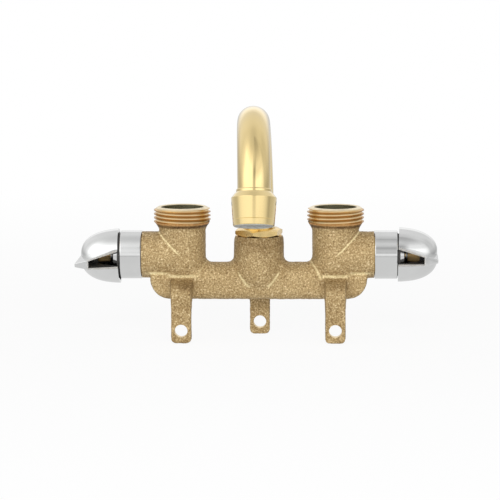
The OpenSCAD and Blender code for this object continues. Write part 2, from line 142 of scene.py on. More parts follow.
# How each handle hangs on its spline, and how much longer the right sleeve is than the left
LEFT_TILTS = (("Y", 1.6),)
LEFT_SHIFT = (-0.2, 0, -0.8)
RIGHT_TILTS = (("X", 2.4), ("Y", -1.2), ("Z", 2.0))
RIGHT_SHIFT = (0.15, 0, 0.1)
RIGHT_SLEEVE_LONG = 0.9


# Handling of pieces

def let_go():
    """Leaves nothing selected."""
    bpy.ops.object.select_all(action="DESELECT")


def pick(piece):
    """Selects one piece alone."""
    let_go()
    piece.select_set(True)
    bpy.context.view_layer.objects.active = piece


def open_mesh(piece):
    """Goes into edit mode with the whole mesh selected."""
    pick(piece)
    bpy.ops.object.mode_set(mode="EDIT")
    bpy.ops.mesh.select_all(action="SELECT")


def close_mesh():
    """Goes back to object mode."""
    bpy.ops.object.mode_set(mode="OBJECT")


def face_outward(piece, weld=0.002):
    """Welds the points that meet and turns every face outward."""
    open_mesh(piece)
    bpy.ops.mesh.remove_doubles(threshold=weld)
    bpy.ops.mesh.dissolve_degenerate(threshold=0.001)
    bpy.ops.mesh.select_all(action="SELECT")
    bpy.ops.mesh.delete_loose()
    bpy.ops.mesh.select_all(action="SELECT")
    bpy.ops.mesh.normals_make_consistent(inside=False)
    close_mesh()


def shaped(piece, kind, **settings):
    """Adds one modifier and applies it."""
    change = piece.modifiers.new(kind.lower(), kind)
    for key, value in settings.items():
        setattr(change, key, value)
    pick(piece)
    bpy.ops.object.modifier_apply(modifier=change.name)
    return piece


def combine(piece, tool, how, solver="EXACT"):
    """Joins, cuts or keeps the shared part of two solids, and uses up the second one."""
    shaped(piece, "BOOLEAN", object=tool, operation=how, solver=solver)
    bpy.data.objects.remove(tool)
    return piece


def broken_edges(piece, width, segments, sharper_than):
    """Bevels the edges that are sharper than an angle."""
    limit = math.radians(sharper_than)
    return shaped(piece, "BEVEL", width=width, segments=segments, limit_method="ANGLE", angle_limit=limit)


def gather(name, pieces):
    """Makes one mesh of several."""
    let_go()
    for piece in pieces:
        piece.select_set(True)
    bpy.context.view_layer.objects.active = pieces[0]
    bpy.ops.object.join()
    pieces[0].name = name
    return pieces[0]


def settle(piece):
    """Works a piece's place, turn and scale into its mesh."""
    pick(piece)
    bpy.ops.object.transform_apply(location=True, rotation=True, scale=True)
    return piece


def stand(piece, turn=(0, 0, 0), at=(0, 0, 0)):
    """Turns a piece about the origin and moves it."""
    piece.rotation_euler = [math.radians(angle) for angle in turn]
    piece.location = at
    return settle(piece)


def mirrored(piece, name):
    """A copy on the other side of the middle, with its own mesh."""
    pick(piece)
    bpy.ops.object.duplicate()
    copy = bpy.context.object
    copy.name = name
    copy.scale = (-1, 1, 1)
    settle(copy)
    open_mesh(copy)
    bpy.ops.mesh.normals_make_consistent(inside=False)
    close_mesh()
    return copy


def in_metres(piece, crease=35):
    """Brings a finished piece down to metres and smooths it up to its creases."""
    piece.scale = (MM, MM, MM)
    settle(piece)
    bpy.ops.object.shade_smooth_by_angle(angle=math.radians(crease))
    return piece


def crisp(piece):
    """Lets the large faces of a piece set its shading, so that flats stay flat beside rounded edges."""
    return shaped(piece, "WEIGHTED_NORMAL", mode="FACE_AREA", weight=80, keep_sharp=True)


# Outlines and blanks

def eased(points, steps=4):
    """A closed outline with its corners rounded: a point is (u, v) or (u, v, radius)."""
    outline = []
    count = len(points)
    for place, point in enumerate(points):
        corner = Vector(point[:2])
        radius = point[2] if len(point) > 2 else 0
        if radius == 0:
            outline.append(tuple(corner))
            continue
        back = (Vector(points[place - 1][:2]) - corner).normalized()
        ahead = (Vector(points[(place + 1) % count][:2]) - corner).normalized()
        half = back.angle(ahead) / 2
        reach = radius / math.tan(half)
        centre = corner + (back + ahead).normalized() * (radius / math.sin(half))
        first = corner + back * reach - centre
        sweep = first.angle_signed(corner + ahead * reach - centre)
        for step in range(steps + 1):
            turn = -sweep * step / steps
            swung = Vector((
                first.x * math.cos(turn) - first.y * math.sin(turn),
                first.x * math.sin(turn) + first.y * math.cos(turn),
            ))
            outline.append(tuple(centre + swung))
    return outline


def arc(radius, centre, start, end, steps):
    """Points along part of a circle, from one angle to another."""
    points = []
    for step in range(steps + 1):
        turn = math.radians(start + (end - start) * step / steps)
        points.append((centre[0] + radius * math.cos(turn), centre[1] + radius * math.sin(turn)))
    return points


def outline_loop(name, points, filled):
    """A ring of points laid on a circle, ready to be moved into an outline."""
    let_go()
    fill = "NGON" if filled else "NOTHING"
    bpy.ops.mesh.primitive_circle_add(vertices=len(points), radius=1, fill_type=fill)
    loop = bpy.context.object
    loop.name = name
    return loop


def half_section(name, outline):
    """A closed loop of (radius, height) points beside the Z axis."""
    loop = outline_loop(name, outline, filled=False)
    for vertex, (radius, height) in zip(loop.data.vertices, outline):
        vertex.co = (radius, 0, height)
    return loop


def turned(name, outline, segments=128):
    """A piece turned about Z from its half section."""
    piece = half_section(name, outline)
    open_mesh(piece)
    bpy.ops.mesh.spin(
        steps=segments, angle=2 * math.pi, center=(0, 0, 0), axis=(0, 0, 1), use_auto_merge=True
    )
    close_mesh()
    face_outward(piece)
    return piece


def sawn(name, outline, axis, start, end):
    """A bar of one section, drawn across an axis and pulled out along it."""
    piece = outline_loop(name, outline, filled=True)
    for vertex, (u, v) in zip(piece.data.vertices, outline):
        vertex.co = {"X": (start, u, v), "Y": (u, start, v), "Z": (u, v, start)}[axis]
    pull = [0, 0, 0]
    pull["XYZ".index(axis)] = end - start
    open_mesh(piece)
    bpy.ops.mesh.extrude_region_move(TRANSFORM_OT_translate={"value": pull})
    bpy.ops.mesh.select_all(action="SELECT")
    bpy.ops.mesh.normals_make_consistent(inside=False)
    close_mesh()
    return piece


def rod(name, radius, start, end, segments=64):
    """A round bar between two points."""
    foot = Vector(start)
    run = Vector(end) - foot
    let_go()
    bpy.ops.mesh.primitive_cylinder_add(
        vertices=segments, radius=radius, depth=run.length, location=foot + run / 2
    )
    bar = bpy.context.object
    bar.name = name
    bar.rotation_euler = run.to_track_quat("Z", "Y").to_euler()
    return settle(bar)


def block(name, low, high):
    """A box between two corners."""
    plan = [(low[0], low[1]), (high[0], low[1]), (high[0], high[1]), (low[0], high[1])]
    return sawn(name, plan, "Z", low[2], high[2])


# Finishes

def finish(name, metallic):
    """A new material with its shader, and the object coordinates that its pattern reads."""
    material = bpy.data.materials.new(name)
    material.use_nodes = True
    tree = material.node_tree
    shader = tree.nodes["Principled BSDF"]
    shader.inputs["Metallic"].default_value = metallic
    place = tree.nodes.new("ShaderNodeTexCoord").outputs["Object"]
    return material, tree, shader, place


def feed(tree, value, socket):
    """Gives a socket its value: a number or a colour is set on it, anything else is linked."""
    if isinstance(value, (int, float, tuple)):
        socket.default_value = value
    else:
        tree.links.new(value, socket)


def grain(tree, place, scale, detail=3.0, rough=0.55):
    """Noise of a given scale."""
    noise = tree.nodes.new("ShaderNodeTexNoise")
    noise.inputs["Scale"].default_value = scale
    noise.inputs["Detail"].default_value = detail
    noise.inputs["Roughness"].default_value = rough
    tree.links.new(place, noise.inputs["Vector"])
    return noise.outputs["Fac"]


def stretched(tree, place, factors):
    """Coordinates stretched along the axes, so that a grain becomes lines."""
    mapping = tree.nodes.new("ShaderNodeMapping")
    mapping.inputs["Scale"].default_value = factors
    tree.links.new(place, mapping.inputs["Vector"])
    return mapping.outputs["Vector"]


def axes(tree, place):
    """The three coordinates of a place."""
    parts = tree.nodes.new("ShaderNodeSeparateXYZ")
    tree.links.new(place, parts.inputs["Vector"])
    return parts.outputs["X"], parts.outputs["Y"], parts.outputs["Z"]


def axes_in_mm(tree, place):
    """The three coordinates of a place, in millimetres like the sizes above."""
    enlarged = tree.nodes.new("ShaderNodeVectorMath")
    enlarged.operation = "SCALE"
    enlarged.inputs["Scale"].default_value = 1 / MM
    tree.links.new(place, enlarged.inputs[0])
    return axes(tree, enlarged.outputs["Vector"])


def colours(tree, value, stops):
    """Colours along a value: stops are (position, red, green, blue)."""
    ramp = tree.nodes.new("ShaderNodeValToRGB")
    steps = ramp.color_ramp.elements
    while len(steps) < len(stops):
        steps.new(0.5)
    for step, (position, red, green, blue) in zip(steps, stops):
        step.position = position
        step.color = (red, green, blue, 1)
    tree.links.new(value, ramp.inputs["Fac"])
    return ramp.outputs["Color"]


def levels(tree, value, stops):
    """Grey levels along a value: stops are (position, level)."""
    return colours(tree, value, [(position, level, level, level) for position, level in stops])


def laid_over(tree, under, over, share, how="MIX"):
    """One colour laid over another, by a share or a mask."""
    mix = tree.nodes.new("ShaderNodeMix")
    mix.data_type = "RGBA"
    mix.blend_type = how
    feed(tree, under, mix.inputs["A"])
    feed(tree, over, mix.inputs["B"])
    feed(tree, share, mix.inputs["Factor"])
    return mix.outputs["Result"]


def raised(tree, shader, height, depth, strength):
    """Small relief from a height."""
    bump = tree.nodes.new("ShaderNodeBump")
    bump.inputs["Strength"].default_value = strength
    bump.inputs["Distance"].default_value = depth
    tree.links.new(height, bump.inputs["Height"])
    tree.links.new(bump.outputs["Normal"], shader.inputs["Normal"])


def coated(tree, shader, colour, roughness):
    """Gives a shader the colour and roughness of its finish."""
    tree.links.new(colour, shader.inputs["Base Color"])
    tree.links.new(roughness, shader.inputs["Roughness"])


def counted(tree, how, *values):
    """Arithmetic on values."""
    step = tree.nodes.new("ShaderNodeMath")
    step.operation = how
    for socket, value in zip(step.inputs, values):
        feed(tree, value, socket)
    return step.outputs["Value"]


def all_of(tree, first, *others):
    """Masks multiplied, so that what is left is where all of them are on."""
    for mask in others:
        first = counted(tree, "MULTIPLY", first, mask)
    return first


def any_of(tree, first, *others):
    """The strongest of several masks."""
    for mask in others:
        first = counted(tree, "MAXIMUM", first, mask)
    return first


def spread(tree, value, start, end, low, high):
    """A value taken from one range into another, and held at its ends."""
    span = tree.nodes.new("ShaderNodeMapRange")
    span.inputs["From Min"].default_value = start
    span.inputs["From Max"].default_value = end
    span.inputs["To Min"].default_value = low
    span.inputs["To Max"].default_value = high
    tree.links.new(value, span.inputs["Value"])
    return span.outputs["Result"]


def between(tree, value, low, high):
    """A share taken into a range."""
    return spread(tree, value, 0, 1, low, high)


def faded(tree, value, start, end):
    """One at the start of a range, nothing at its end and beyond."""
    return spread(tree, value, start, end, 1, 0)


def close_to(tree, value, middle, half):
    """One where a value is at the middle, fading out by half a width."""
    off = counted(tree, "ABSOLUTE", counted(tree, "SUBTRACT", value, middle))
    return faded(tree, off, half * 0.35, half)


def painted_corner_highlights(tree, place):
    """Painted highlights along the casting's inside corners and fillets, where the light catches them."""
    x, y, height = axes_in_mm(tree, place)
    side = counted(tree, "ABSOLUTE", x)
    depth = counted(tree, "ABSOLUTE", y)
    mitre = all_of(
        tree,
        close_to(tree, counted(tree, "SUBTRACT", side, height), UNION_X - VALVE_Z, 1.0),
        faded(tree, height, 28.0, 26.0),
    )
    arm_foot = all_of(tree, close_to(tree, height, 15.6, 1.1), close_to(tree, side, 59.2, 8.5))
    leg_top = all_of(
        tree,
        close_to(tree, height, 14.0, 1.2),
        close_to(tree, side, UNION_X, 10.0),
        faded(tree, depth, 8.5, 7.5),
    )

    # Column and manifold cross where the squares of the offsets from their axes differ by a constant.
    square_line = 20.0
    off_column = counted(tree, "SUBTRACT", side, UNION_X)
    off_bar = counted(tree, "SUBTRACT", height, MANIFOLD_R)
    meeting = counted(
        tree, "SUBTRACT",
        counted(tree, "MULTIPLY", off_column, off_column),
        counted(tree, "MULTIPLY", off_bar, off_bar),
    )
    right_half = faded(tree, x, 10.0, -10.0)
    column_foot = all_of(
        tree,
        close_to(tree, meeting, COLUMN_R ** 2 - MANIFOLD_R ** 2, square_line),
        faded(tree, side, 36.5, 38.5),
        faded(tree, height, 13.5, 11.5),
        counted(tree, "MULTIPLY_ADD", right_half, 0.55, 0.25),
    )

    # The boss meets the manifold along a line close to this parabola.
    fall = counted(tree, "MULTIPLY_ADD", height, -12.4, 66.0)
    boss_foot = all_of(
        tree,
        close_to(tree, counted(tree, "MULTIPLY_ADD", side, side, fall), 0.0, square_line),
        faded(tree, height, 9.0, 7.0),
        faded(tree, height, 14.5, 17.5),
    )
    return any_of(tree, mitre, arm_foot, leg_top, column_foot, boss_foot)


def darker_legs_and_spout_shadow(tree, place):
    """Where the casting is darkened: painted shadow high on the boss under the spout, and darker
    shoulders and lower straps on the front legs.
    """
    x, y, height = axes_in_mm(tree, place)
    side = counted(tree, "ABSOLUTE", x)
    shoulder = all_of(
        tree,
        close_to(tree, height, 9.8, 5.0),
        close_to(tree, side, UNION_X, 14.0),
        faded(tree, y, -11.0, -9.8),
    )
    # Painted shadow of the spout on the top of the boss.
    collar = all_of(tree, faded(tree, side, 14.0, 16.0), faded(tree, height, 33.0, 23.0), 0.75)
    strap = all_of(tree, faded(tree, height, 0.0, 6.0), faded(tree, y, -12.5, -10.5), 0.36)
    return any_of(tree, shoulder, collar, strap)


def rough_cast_brass():
    """Sand-cast brass: a sandy skin with bright flecks and browner patches, painted shadow under the
    spout, painted shade under the thread, darker front legs, and painted highlights along the inside
    corners.
    """
    material, tree, shader, place = finish("rough cast brass", 0.30)
    sand = grain(tree, place, 1050, detail=4, rough=0.72)
    patches = grain(tree, place, 80, detail=4)
    height = axes_in_mm(tree, place)[2]
    skin = colours(tree, sand, [
        (0.33, 0.170, 0.105, 0.036),
        (0.45, 0.410, 0.285, 0.130),
        (0.55, 0.530, 0.387, 0.190),
        (0.68, 0.970, 0.820, 0.530),
    ])
    tint = colours(tree, patches, [(0.32, 0.86, 0.83, 0.78), (0.68, 1.0, 1.0, 1.0)])
    skin = laid_over(tree, skin, tint, 1.0, "MULTIPLY")
    # Painted shadow under the spout, and the front legs made darker at their shoulders and lower straps.
    brown = colours(tree, patches, [(0.30, 0.50, 0.44, 0.36), (0.70, 0.82, 0.79, 0.74)])
    skin = laid_over(tree, skin, brown, darker_legs_and_spout_shadow(tree, place), "MULTIPLY")
    # Painted shade in a band under the thread's flare.
    flare_shade = colours(tree, patches, [(0.30, 0.20, 0.15, 0.10), (0.70, 0.46, 0.38, 0.29)])
    under_thread = close_to(tree, height, THREAD_FOOT - 2.0, 1.4)
    skin = laid_over(tree, skin, flare_shade, under_thread, "MULTIPLY")
    runout = colours(tree, sand, [(0.38, 0.46, 0.235, 0.075), (0.62, 0.68, 0.400, 0.160)])
    at_thread = faded(tree, height, THREAD_FOOT - 0.9, THREAD_FOOT - 1.6)
    skin = laid_over(tree, skin, runout, at_thread)
    # Painted highlight along the inside corners and fillets.
    bright = colours(tree, sand, [(0.38, 0.560, 0.430, 0.215), (0.60, 0.900, 0.770, 0.450)])
    skin = laid_over(tree, skin, bright, painted_corner_highlights(tree, place))
    coated(tree, shader, skin, between(tree, sand, 0.70, 0.44))
    pits = grain(tree, place, 1100, detail=4, rough=0.68)
    raised(tree, shader, pits, depth=0.0005, strength=0.8)
    return material


def machined_brass(name, shade, roughness):
    """Brass straight from the lathe, with fine turning marks."""
    material, tree, shader, place = finish(name, 1.0)
    marks = grain(tree, stretched(tree, place, (120, 120, 9000)), 1.0, detail=2)
    bloom = grain(tree, place, 160)
    low = [value * 0.80 for value in shade]
    colour = colours(tree, bloom, [(0.35, *low), (0.65, *shade)])
    coated(tree, shader, colour, between(tree, marks, roughness - 0.07, roughness + 0.10))
    raised(tree, shader, marks, depth=0.00004, strength=0.5)
    return material


def thread_brass():
    """Cut threads, with a painted highlight along the crests and painted shade, dark brown, in the roots.
    """
    material, tree, shader, place = finish("thread brass", 1.0)
    x, y = axes_in_mm(tree, place)[:2]
    across = counted(tree, "SUBTRACT", counted(tree, "ABSOLUTE", x), UNION_X)
    square = counted(tree, "MULTIPLY_ADD", across, across, counted(tree, "MULTIPLY", y, y))
    depth = faded(tree, counted(tree, "SQRT", square), THREAD_CREST, THREAD_ROOT)
    # Painted highlight on the crests and painted shade in the roots, by depth into the thread.
    cut = colours(tree, depth, [
        (0.00, 0.86, 0.66, 0.37),
        (0.25, 0.76, 0.51, 0.22),
        (0.60, 0.58, 0.35, 0.125),
        (0.95, 0.40, 0.22, 0.070),
    ])
    marks = grain(tree, place, 900)
    coated(tree, shader, cut, between(tree, marks, 0.24, 0.42))
    raised(tree, shader, marks, depth=0.00005, strength=0.5)
    return material


def polished_brass():
    """Buffed brass with faint wipe marks, under a clear lacquer."""
    material, tree, shader, place = finish("polished brass", 1.0)
    shader.inputs["Coat Weight"].default_value = 0.6
    shader.inputs["Coat Roughness"].default_value = 0.06
    wipe = grain(tree, stretched(tree, place, (1, 1, 0.2)), 260)
    bloom = grain(tree, place, 38, detail=2)
    shade = colours(tree, bloom, [(0.35, 0.82, 0.635, 0.290), (0.65, 0.86, 0.675, 0.320)])
    coated(tree, shader, shade, between(tree, wipe, 0.07, 0.15))
    raised(tree, shader, wipe, depth=0.00002, strength=0.3)
    return material


def chrome_plate():
    """Bright chrome with a trace of handling."""
    material, tree, shader, place = finish("chrome plate", 1.0)
    smudge = grain(tree, place, 55, detail=4)
    shade = colours(tree, smudge, [(0.35, 0.695, 0.700, 0.695), (0.65, 0.745, 0.750, 0.745)])
    coated(tree, shader, shade, between(tree, smudge, 0.05, 0.13))
    return material


def plain_finish(name, shade, metallic, roughness):
    """A small part's own colour, a little uneven, with a fine grain."""
    material, tree, shader, place = finish(name, metallic)
    mottle = grain(tree, place, 300)
    low = [value * 0.82 for value in shade]
    colour = colours(tree, mottle, [(0.35, *low), (0.65, *shade)])
    coated(tree, shader, colour, between(tree, mottle, roughness - 0.06, roughness + 0.08))
    raised(tree, shader, grain(tree, place, 1800, detail=2), depth=0.00003, strength=0.4)
    return material


ROUGH = rough_cast_brass()
THREAD = thread_brass()
# Machined brass for the union rims, made paler than turned brass as a painted sheen.
CUT_BRASS_WITH_SHEEN = machined_brass("cut brass with painted sheen", (0.98, 0.84, 0.58), 0.30)
TURNED = machined_brass("turned brass", (0.90, 0.66, 0.29), 0.22)
# Stem brass made brighter than the turned brass: painted light on the stem seen in the handle's shade.
STEM_WITH_PAINTED_LIGHT = plain_finish("stem brass with painted light", (1.0, 0.68, 0.30), 0.55, 0.42)
BORE = machined_brass("bore brass", (0.260, 0.240, 0.150), 0.45)
# Unplated inside of the handles, made darker as painted shade; it also paints the shadow on the sleeve
# necks.
UNPLATED_AND_SHADED_INSIDE = plain_finish("unplated handle inside with painted shade", (0.085, 0.082, 0.078), 0.3, 0.55)
EDGE = plain_finish("dull plated edge", (0.62, 0.62, 0.61), 0.25, 0.40)
POLISHED = polished_brass()
CHROME = chrome_plate()
STEEL = plain_finish("spring steel", (0.46, 0.47, 0.49), 1.0, 0.30)
RUBBER = plain_finish("black rubber", (0.020, 0.020, 0.022), 0.0, 0.55)
CERAMIC = plain_finish("white ceramic", (0.83, 0.82, 0.79), 0.0, 0.20)
NYLON = plain_finish("white nylon", (0.76, 0.74, 0.68), 0.0, 0.42)
GREY = plain_finish("grey plastic", (0.42, 0.43, 0.41), 0.0, 0.45)
RED = plain_finish("red plastic", (0.52, 0.035, 0.030), 0.0, 0.35)
BLUE = plain_finish("blue plastic", (0.030, 0.090, 0.45), 0.0, 0.35)


def dress(piece, *materials):
    """Gives a piece its materials."""
    piece.data.materials.clear()
    for material in materials:
        piece.data.materials.append(material)


# Body casting

def sand_round(piece, voxel, passes):
    """Turns a crisp solid into one skin with softened corners."""
    shaped(piece, "REMESH", mode="VOXEL", voxel_size=voxel)
    shaped(piece, "SMOOTH", factor=0.5, iterations=passes)
    return piece


def fill_corners(piece, radius, voxel):
    """Fills the inside corners of a casting to a radius, and leaves the outside ones."""
    for swell in (radius, -radius):
        shaped(piece, "REMESH", mode="VOXEL", voxel_size=voxel)
        shaped(piece, "DISPLACE", strength=swell, mid_level=0)
    return sand_round(piece, voxel, 4)


def manifold():
    """The round bar that carries the water, flat underneath and rounded at its ends."""
    edge = MANIFOLD_R - MANIFOLD_FLAT
    section = arc(edge, (MANIFOLD_FLAT, edge), -90, 0, 8)
    section += arc(MANIFOLD_R, (0, MANIFOLD_R), 0, 180, 32)
    section += arc(edge, (-MANIFOLD_FLAT, edge), 180, 270, 8)
    bar = sawn("manifold", section, "X", -MANIFOLD_END - 1, MANIFOLD_END + 1)
    front = eased([
        (-MANIFOLD_END, 0, MANIFOLD_CORNER),
        (MANIFOLD_END, 0, MANIFOLD_CORNER),
        (MANIFOLD_END, 2 * MANIFOLD_R + 1),
        (-MANIFOLD_END, 2 * MANIFOLD_R + 1),
    ], 14)
    return combine(bar, sawn("front", front, "Y", -30, 30), "INTERSECT")


def tower(name, radius, ball_z, top):
    """A round tower on a ball foot, with the outline of its top end given."""
    foot = [(0, ball_z - radius)] + arc(radius, (0, ball_z), -90, 0, 12)[1:]
    return turned(name, foot + top, 96)


def boss():
    """The tower under the spout, its top edge worn round."""
    stock = BOSS_TOP + FACING_STOCK
    return tower("boss", BOSS_R, BOSS_BALL_Z, [
        (14.4, BOSS_TOP - 1.3),
        (13.3, BOSS_TOP),
        (13.3, stock),
        (0, stock),
    ])


def column():
    """A union's column with the shoulder under its thread."""
    stock = THREAD_FOOT + FACING_STOCK
    piece = tower("column", COLUMN_R, COLUMN_BALL_Z, [
        (COLUMN_R, COLUMN_SHOULDER_Z),
        (COLUMN_SHOULDER_R, THREAD_FOOT),
        (COLUMN_SHOULDER_R, stock),
        (0, stock),
    ])
    return stand(piece, at=(UNION_X, 0, 0))


def leg(side):
    """A straddle leg: a sloping shoulder off the manifold and a flat strap. Side is -1 in front."""
    root = 4.55
    profile = eased([
        (root, 14.2),
        (10.05, 13.0),
        (12.5, 11.6),
        (16.6, 9.8),
        (18.5, 8.2),
        (LEG_OUT, 6.0),
        (LEG_OUT, LEG_FOOT, 0.8),
        (LEG_IN, LEG_FOOT, 0.8),
        (LEG_IN, -1),
        (13.0, 0.6),
        (root, 0.6),
    ])
    front = eased([
        (-LEG_ROOT_HALF, 21),
        (-LEG_ROOT_HALF, 1.5),
        (-LEG_STRAP_HALF, -5),
        (-LEG_STRAP_HALF, LEG_FOOT, 2.8),
        (LEG_STRAP_HALF, LEG_FOOT, 2.8),
        (LEG_STRAP_HALF, -5),
        (LEG_ROOT_HALF, 1.5),
        (LEG_ROOT_HALF, 21),
    ], 8)
    strap = sawn("leg", [(side * u, v) for u, v in profile], "X", -8, 8)
    combine(strap, sawn("front", front, "Y", -25, 25), "INTERSECT")
    draft = [(-7.4, 3), (-5.5, LEG_OUT + 1), (5.5, LEG_OUT + 1), (7.4, 3)]
    combine(strap, sawn("draft", [(u, side * v) for u, v in draft], "Z", -30, 21), "INTERSECT")
    return broken_edges(strap, width=0.9, segments=3, sharper_than=50)


def leg_hole(x, near, far):
    """The bolt hole through a leg that stands between two depths."""
    past = 2
    return rod("leg hole", LEG_HOLE_R, (x, near - past, LEG_HOLE_Z), (x, far + past, LEG_HOLE_Z))


def body_waterway():
    """All that is bored out of the casting."""
    bores = []
    for side in (-1, 1):
        union = side * UNION_X
        inlet = union + side * INLET_OFFSET
        chamber = side * CHAMBER_START
        drop = side * DROP_X
        bores += [
            rod("mouth", UNION_BORE_R, (union, 0, UNION_FLOOR), (union, 0, UNION_TOP + 2), 96),
            rod("inlet", INLET_R, (inlet, 0, VALVE_Z), (inlet, 0, UNION_FLOOR + 1)),
            rod("chamber", CHAMBER_R, (chamber, 0, VALVE_Z), (side * (ARM_END + 3), 0, VALVE_Z), 96),
            rod("drop", DROP_R, (drop, 0, MANIFOLD_R), (drop, 0, VALVE_Z + 3)),
            rod("seat", DROP_R, (drop, 0, VALVE_Z), (chamber + side, 0, VALVE_Z)),
            leg_hole(union, -LEG_OUT, -LEG_IN),
        ]
    bores += [
        rod("channel", CHANNEL_R, (-DROP_X, 0, MANIFOLD_R), (DROP_X, 0, MANIFOLD_R)),
        rod("socket", SOCKET_R, (0, 0, SOCKET_FLOOR), (0, 0, BOSS_TOP + 3), 96),
        rod("seal bore", SEAL_R, (0, 0, SEAL_FLOOR), (0, 0, SOCKET_FLOOR + 1.5), 96),
        rod("rise", CHANNEL_R, (0, 0, MANIFOLD_R), (0, 0, SEAL_FLOOR + 1)),
        leg_hole(0, LEG_IN, LEG_OUT),
    ]
    return bores


def union_thread():
    """The threaded end of a union: a helical ridge, a sloping nose and the mouth."""
    tooth = [
        (THREAD_ROOT, 0.0),
        (THREAD_ROOT, 0.16),
        (THREAD_CREST, 0.42),
        (THREAD_CREST, 0.58),
        (THREAD_ROOT, 0.84),
    ]
    foot = THREAD_FOOT - 2.5 * THREAD_PITCH
    outer = []
    for turn in range(THREAD_TURNS):
        outer += [(radius, foot + (turn + share) * THREAD_PITCH) for radius, share in tooth]
    inner = [(UNION_BORE_R - 1.5, height) for radius, height in reversed(outer)]
    ridge = half_section("thread", outer + inner)
    shaped(
        ridge, "SCREW",
        axis="Z", angle=2 * math.pi, screw_offset=THREAD_PITCH, steps=120, render_steps=120,
    )
    face_outward(ridge, 0.01)
    for height, keep_above in ((THREAD_FOOT - 0.6, True), (UNION_TOP + 0.5, False)):
        open_mesh(ridge)
        bpy.ops.mesh.bisect(
            plane_co=(0, 0, height),
            plane_no=(0, 0, 1),
            use_fill=True,
            clear_inner=keep_above,
            clear_outer=not keep_above,
        )
        close_mesh()
    face_outward(ridge)
    clear = THREAD_CREST + 1.05
    nose = turned("nose", [
        (UNION_BORE_R, THREAD_FOOT - 0.5),
        (clear, THREAD_FOOT - 0.5),
        (clear, 51.9),
        (16.5, 52.1),
        (15.4, 52.7),
        (14.5, 53.2),
        (14.1, 53.45),
        (13.7, UNION_TOP),
        (UNION_BORE_R + 0.5, UNION_TOP),
        (UNION_BORE_R, UNION_TOP - 0.4),
    ], 120)
    combine(ridge, nose, "INTERSECT")
    return stand(ridge, at=(UNION_X, 0, 0))


def cast_skin(body):
    """Roughens the skin in three sizes of waves."""
    for scale, depth in ((9.0, 0.35), (2.2, 0.22), (1.1, 0.16)):
        waves = bpy.data.textures.new("cast skin", "CLOUDS")
        waves.noise_scale = scale
        waves.noise_depth = 2
        shaped(body, "DISPLACE", texture=waves, strength=depth, mid_level=0.5, texture_coords="LOCAL")


def face_off(body, low, high):
    """Cuts one end of the casting flat."""
    combine(body, block("facing", low, high), "DIFFERENCE", "MANIFOLD")


def body_casting():
    """The whole casting, with its bores and threads cut."""
    right_column = column()
    towers = [manifold(), boss(), right_column, mirrored(right_column, "left column")]
    core = fill_corners(gather("cast_body", towers), radius=2.2, voxel=0.7)
    right_arm = rod("right arm", ARM_R, (UNION_X, 0, VALVE_Z), (ARM_END + FACING_STOCK, 0, VALVE_Z), 96)
    legs = [leg(1), stand(leg(-1), at=(UNION_X, 0, 0)), stand(leg(-1), at=(-UNION_X, 0, 0))]
    body = gather("cast_body", [core, right_arm, mirrored(right_arm, "left arm")] + legs)
    sand_round(body, voxel=0.55, passes=2)
    cast_skin(body)
    for side, end in ((-1, ARM_END), (1, ARM_END - RIGHT_SLEEVE_LONG)):
        inside, outside = sorted((side * end, side * (ARM_END + 5)))
        face_off(body, (inside, -20, 0), (outside, 20, 50))
        middle = side * UNION_X
        face_off(body, (middle - 20, -20, THREAD_FOOT), (middle + 20, 20, 60))
    face_off(body, (-20, -20, BOSS_TOP), (20, 20, 50))
    right_thread = union_thread()
    left_thread = mirrored(right_thread, "left thread")
    combine(body, right_thread, "UNION", "MANIFOLD")
    combine(body, left_thread, "UNION", "MANIFOLD")
    for bore in body_waterway():
        combine(body, bore, "DIFFERENCE", "MANIFOLD")
    return body


def body_faces(body):
    """Tells the machined faces of the casting from its rough skin."""
    rough, thread, bore, faced, cut = range(5)
    union_reach = 18
    boss_reach = 15
    seat_x = 36
    inlet_foot = 24
    seal_top = 22
    channel_z = 10
    skin = 0.02
    rim = 0.03
    hair = 0.05
    beside = 0.1
    for face in body.data.polygons:
        x, y, z = face.center
        off_union = math.hypot(abs(x) - UNION_X, y)
        off_valve = math.hypot(y, z - VALVE_Z)
        off_spout = math.hypot(x, y)
        off_hole = math.hypot(min(abs(x), abs(abs(x) - UNION_X)), z - LEG_HOLE_Z)
        arm_end = ARM_END - (RIGHT_SLEEVE_LONG if x > 0 else 0)
        spout_bore = SOCKET_R if z > seal_top else SEAL_R
        face.material_index = rough
        if z > THREAD_FOOT - hair and off_union < union_reach:
            face.material_index = thread
        # The union rims take the paler cut brass, its paleness a painted sheen.
        if z > UNION_RIM_Z and off_union < union_reach:
            face.material_index = cut
        if off_union < UNION_BORE_R + hair and inlet_foot < z < UNION_TOP - 0.3:
            face.material_index = bore
        if off_valve < CHAMBER_R + beside and abs(x) > seat_x or abs(x) > arm_end - skin:
            face.material_index = faced
        if off_spout < spout_bore + beside and channel_z < z < BOSS_TOP:
            face.material_index = faced
        if off_hole < LEG_HOLE_R + rim:
            face.material_index = faced
        if z > BOSS_TOP - skin and off_spout < boss_reach:
            face.material_index = faced


casting = body_casting()
dress(casting, ROUGH, THREAD, BORE, TURNED, CUT_BRASS_WITH_SHEEN)
body_faces(casting)
in_metres(casting)
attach(casting, "body")
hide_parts("body_casting")


# Spout

def pulled(by):
    """Draws the selected ring of points out into the next stretch of tube."""
    bpy.ops.mesh.extrude_region_move(TRANSFORM_OT_translate={"value": by})


